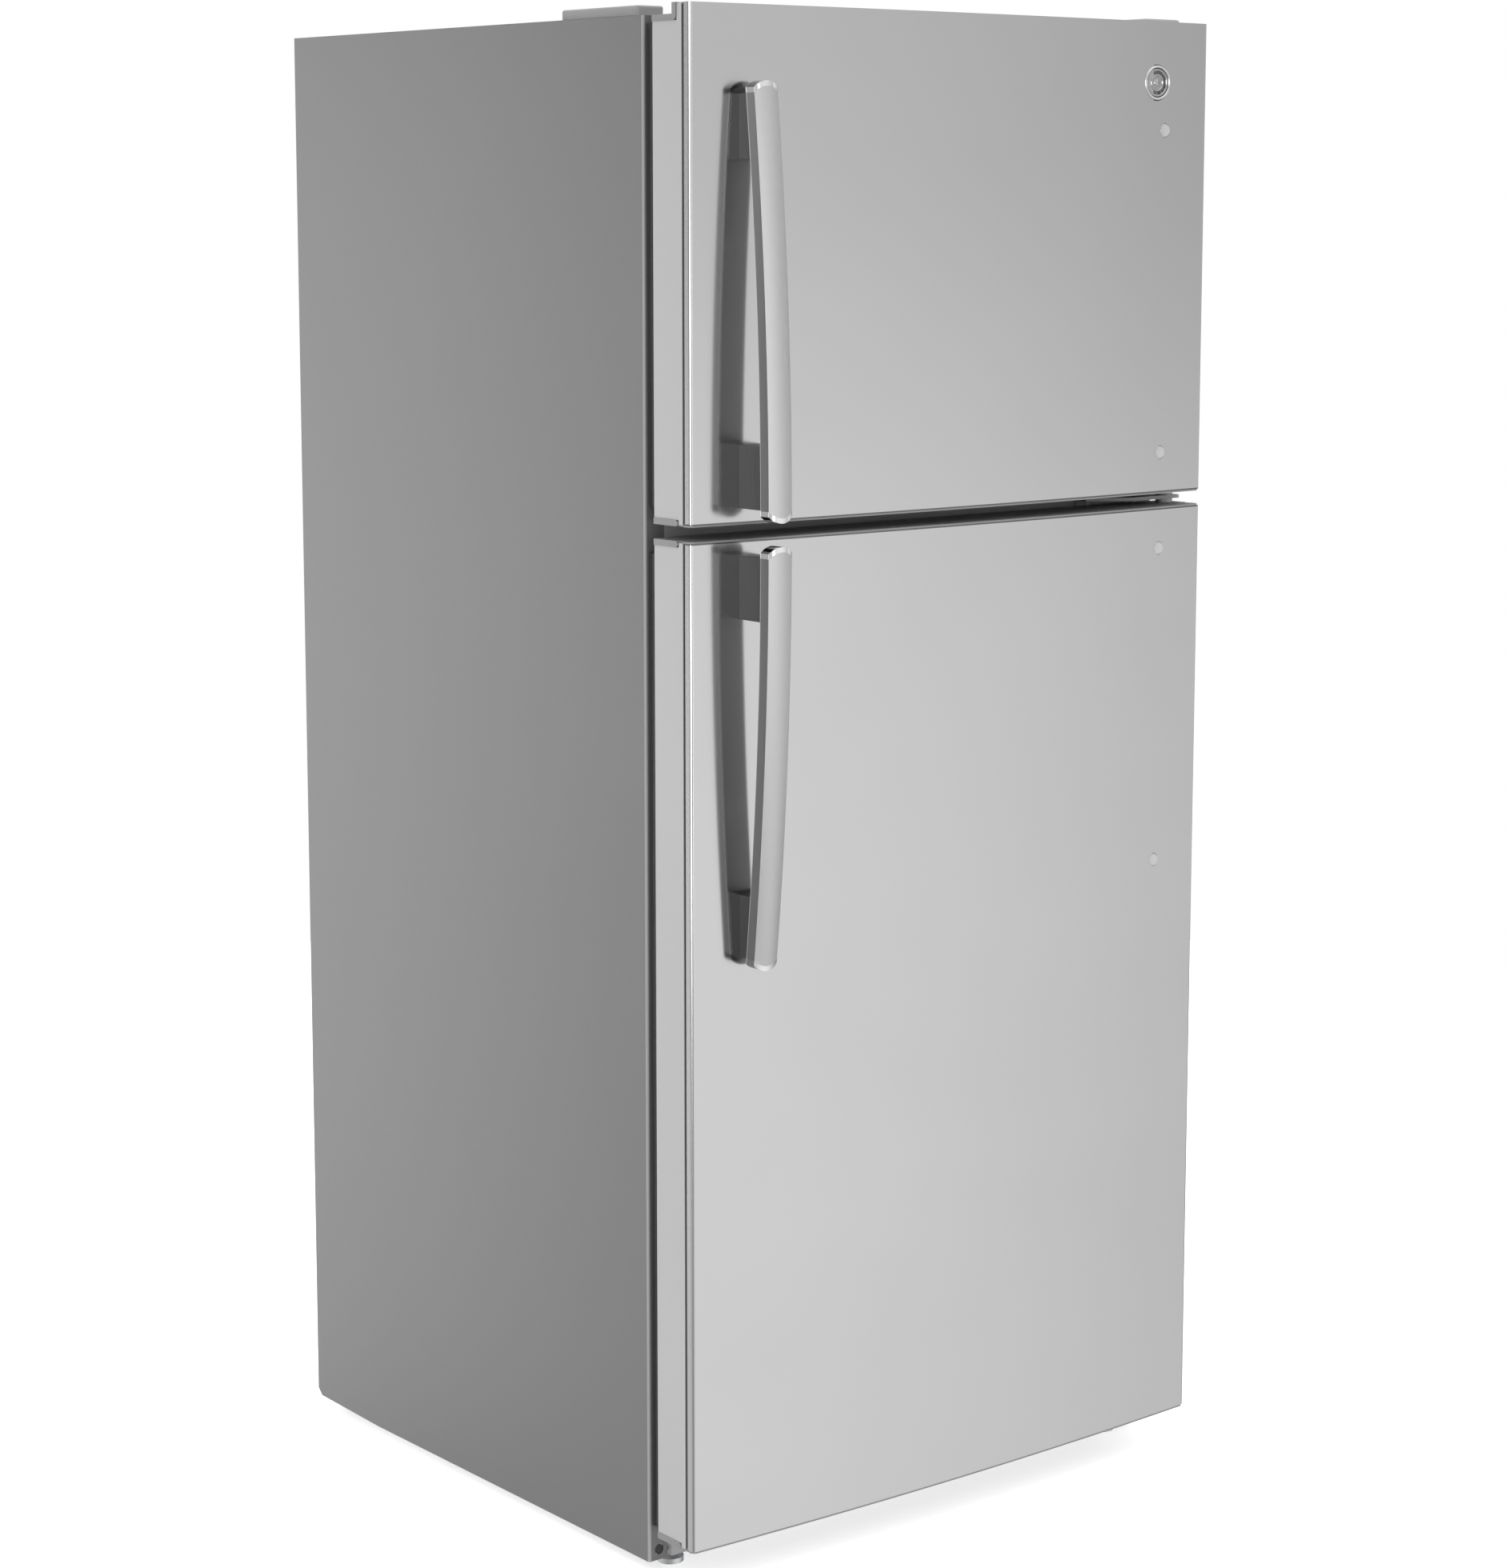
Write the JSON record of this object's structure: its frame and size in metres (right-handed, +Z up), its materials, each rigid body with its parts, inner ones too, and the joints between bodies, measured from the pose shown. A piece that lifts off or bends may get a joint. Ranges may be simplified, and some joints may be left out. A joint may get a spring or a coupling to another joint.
{
  "type": "top freezer refrigerator",
  "caption": "Free-standing top freezer refrigerator: steel cabinet, two bowed stainless doors hinged on the right, bowed bar handles, shelves, crispers and cooling parts inside.",
  "frame": {"origin": "centre of the bounding box, on the floor", "axes": "+Z up, -Y towards the doors' front, +X towards the hinge side"},
  "size_m": [0.758, 0.829, 1.711],
  "materials": {
    "cabinet_paint": "satin grey paint",
    "back_steel": "matt grey",
    "galvanised": "zinc coated",
    "insulation": "foam",
    "liner_white": "satin",
    "stainless": "vertical brush, satin",
    "door_strip": "satin light grey",
    "cap_grey": "satin grey",
    "gasket_dark": "matt",
    "bin_clear": "clear plastic",
    "shelf_glass": "clear tempered",
    "handle_steel": "satin",
    "chrome": "polished",
    "hinge_steel": "light grey",
    "nylon_white": "smooth",
    "screw_zinc": "zinc",
    "white_plastic": "satin",
    "wire_white": "white coated wire",
    "coil_aluminium": "bare",
    "motor_dark": "matt",
    "compressor_black": "gloss",
    "condenser_black": "satin",
    "fan_plastic": "satin",
    "lamp_glass": "frosted",
    "grille_grey": "satin",
    "roller_nylon": "matt",
    "pan_plastic": "matt"
  },
  "bodies": {
    "cabinet": {"case_shell": "cabinet_paint", "back_panel": "back_steel", "cabinet_foam": "insulation", "freezer_liner": "liner_white", "fresh_food_liner": "liner_white", "center_rail": "hinge_steel", "base_frame": "galvanised", "base_grille": "grille_grey", "spare_hinge_cover": "cap_grey", "top_hinge": "hinge_steel", "top_hinge_cover": "cap_grey", "center_hinge": "hinge_steel", "center_hinge_spacers": "nylon_white", "bottom_hinge": "hinge_steel", "hinge_screws": "screw_zinc", "evaporator_cover": "white_plastic", "evaporator_coil": "coil_aluminium", "fan_motors": "motor_dark", "freezer_shelf": "wire_white", "control_housing": "white_plastic", "lamp": "lamp_glass", "shelf_glass": "shelf_glass", "shelf_frames": "white_plastic", "compressor": "compressor_black", "condenser_coil": "condenser_black", "drain_pan": "pan_plastic", "machine_cover": "back_steel", "cord_inlet": "pan_plastic"},
    "freezer_door": {"freezer_door_skin": "stainless", "freezer_door_side_trims": "door_strip", "freezer_door_top_cap": "cap_grey", "freezer_door_bottom_cap": "cap_grey", "freezer_door_foam": "insulation", "freezer_door_liner": "liner_white", "freezer_door_gasket": "gasket_dark", "freezer_door_bins": "bin_clear", "freezer_handle": "handle_steel", "freezer_handle_end_caps": "chrome"},
    "fresh_food_door": {"fresh_food_door_skin": "stainless", "fresh_food_door_side_trims": "door_strip", "fresh_food_door_top_cap": "cap_grey", "fresh_food_door_bottom_cap": "cap_grey", "fresh_food_door_foam": "insulation", "fresh_food_door_liner": "liner_white", "fresh_food_door_gasket": "gasket_dark", "fresh_food_door_bins": "bin_clear", "fresh_food_handle": "handle_steel", "fresh_food_handle_end_caps": "chrome"},
    "dairy_cover": {"dairy_cover": "bin_clear"},
    "crisper_left": {"crisper_left": "bin_clear"},
    "crisper_right": {"crisper_right": "bin_clear"},
    "freezer_dial": {"freezer_dial": "cap_grey"},
    "fresh_food_dial": {"fresh_food_dial": "cap_grey"},
    "switch_plunger": {"switch_plunger": "white_plastic"},
    "evaporator_fan": {"evaporator_fan": "fan_plastic"},
    "condenser_fan": {"condenser_fan": "fan_plastic"},
    "rear_roller_left": {"rear_roller_left": "roller_nylon"},
    "rear_roller_right": {"rear_roller_right": "roller_nylon"},
    "leveling_leg_left": {"leveling_leg_left": "screw_zinc"},
    "leveling_leg_right": {"leveling_leg_right": "screw_zinc"}
  },
  "joints": [
    {"name": "freezer_door_hinge", "type": "hinge", "parent": "cabinet", "child": "freezer_door", "pos_m": [0.362, -0.3125, 1.43], "axis": [0, 0, 1], "range_deg": [0, 120]},
    {"name": "fresh_food_door_hinge", "type": "hinge", "parent": "cabinet", "child": "fresh_food_door", "pos_m": [0.362, -0.3125, 0.6], "axis": [0, 0, 1], "range_deg": [0, 120]},
    {"name": "dairy_cover_hinge", "type": "hinge", "parent": "fresh_food_door", "child": "dairy_cover", "pos_m": [0, -0.2815, 0.984], "axis": [1, 0, 0], "range_deg": [0, 90]},
    {"name": "crisper_left_slide", "type": "slide", "parent": "cabinet", "child": "crisper_left", "axis": [0, -1, 0], "range_m": [0, 0.03]},
    {"name": "crisper_right_slide", "type": "slide", "parent": "cabinet", "child": "crisper_right", "axis": [0, -1, 0], "range_m": [0, 0.03]},
    {"name": "freezer_dial_turn", "type": "hinge", "parent": "cabinet", "child": "freezer_dial", "pos_m": [-0.07, -0.1505, 1.096], "axis": [0, -1, 0], "range_deg": [-135, 135]},
    {"name": "fresh_food_dial_turn", "type": "hinge", "parent": "cabinet", "child": "fresh_food_dial", "pos_m": [0.07, -0.1505, 1.096], "axis": [0, -1, 0], "range_deg": [-135, 135]},
    {"name": "switch_press", "type": "slide", "parent": "cabinet", "child": "switch_plunger", "axis": [0, 1, 0], "range_m": [0, 0.003], "stiffness_N_per_m": 200},
    {"name": "evaporator_fan_spin", "type": "hinge", "parent": "cabinet", "child": "evaporator_fan", "pos_m": [0, 0.3125, 1.545], "axis": [0, -1, 0], "continuous": true},
    {"name": "condenser_fan_spin", "type": "hinge", "parent": "cabinet", "child": "condenser_fan", "pos_m": [0.014, 0.2895, 0.16], "axis": [1, 0, 0], "continuous": true},
    {"name": "rear_roller_left_spin", "type": "hinge", "parent": "cabinet", "child": "rear_roller_left", "pos_m": [-0.34, 0.3645, 0.017], "axis": [1, 0, 0], "continuous": true},
    {"name": "rear_roller_right_spin", "type": "hinge", "parent": "cabinet", "child": "rear_roller_right", "pos_m": [0.34, 0.3645, 0.017], "axis": [1, 0, 0], "continuous": true},
    {"name": "leveling_leg_left_turn", "type": "hinge", "parent": "cabinet", "child": "leveling_leg_left", "pos_m": [-0.335, -0.2575, 0.01], "axis": [0, 0, 1], "continuous": true},
    {"name": "leveling_leg_right_turn", "type": "hinge", "parent": "cabinet", "child": "leveling_leg_right", "pos_m": [0.335, -0.2575, 0.01], "axis": [0, 0, 1], "continuous": true}
  ]
}
